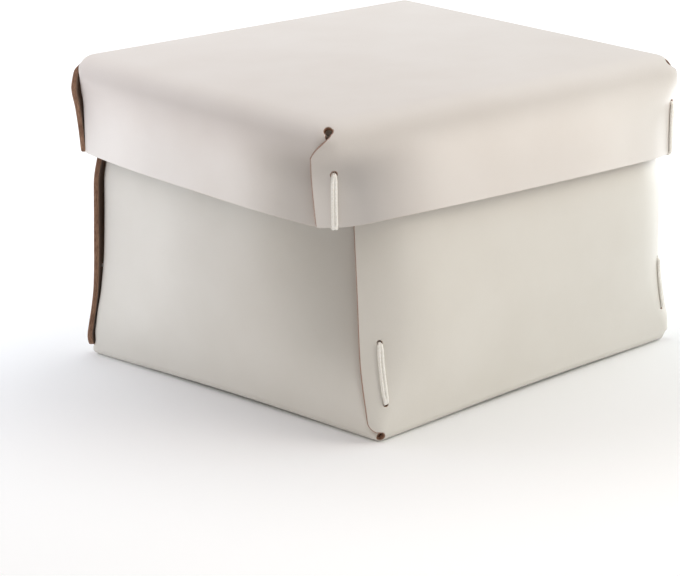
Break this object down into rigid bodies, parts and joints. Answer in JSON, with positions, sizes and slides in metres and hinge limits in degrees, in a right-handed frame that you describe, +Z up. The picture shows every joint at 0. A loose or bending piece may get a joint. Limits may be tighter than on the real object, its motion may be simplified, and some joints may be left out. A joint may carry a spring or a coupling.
{
  "type": "storage box",
  "caption": "Square storage box of folded thick leather with a deep lift-off lid, flaps overlapped at the corners and tied with waxed cord.",
  "frame": {"origin": "centre of the square base, on the surface that the box stands on", "axes": "+Z up through the lid; X and Y square to the base's sides, with the outer walls at +X and -X and the tucked walls at +Y and -Y; the picture is taken from between +X and -Y"},
  "size_m": [0.2774, 0.2818, 0.1736],
  "materials": {
    "body_leather": "off-white finished grain, brown raw core at every cut edge",
    "lid_leather": "off-white finished grain, brown raw core at every cut edge",
    "cord": "waxed white cord"
  },
  "bodies": {
    "box": {"body_sheet": "body_leather", "body_lace_front_right": "cord", "body_lace_back_right": "cord", "body_lace_back_left": "cord", "body_lace_front_left": "cord"},
    "lid": {"lid_sheet": "lid_leather", "lid_lace_front_right": "cord", "lid_lace_back_right": "cord", "lid_lace_back_left": "cord", "lid_lace_front_left": "cord"}
  },
  "joints": [
    {"name": "lid_lift", "type": "slide", "parent": "box", "child": "lid", "axis": [0, 0, 1], "range_m": [0, 0.1]}
  ]
}
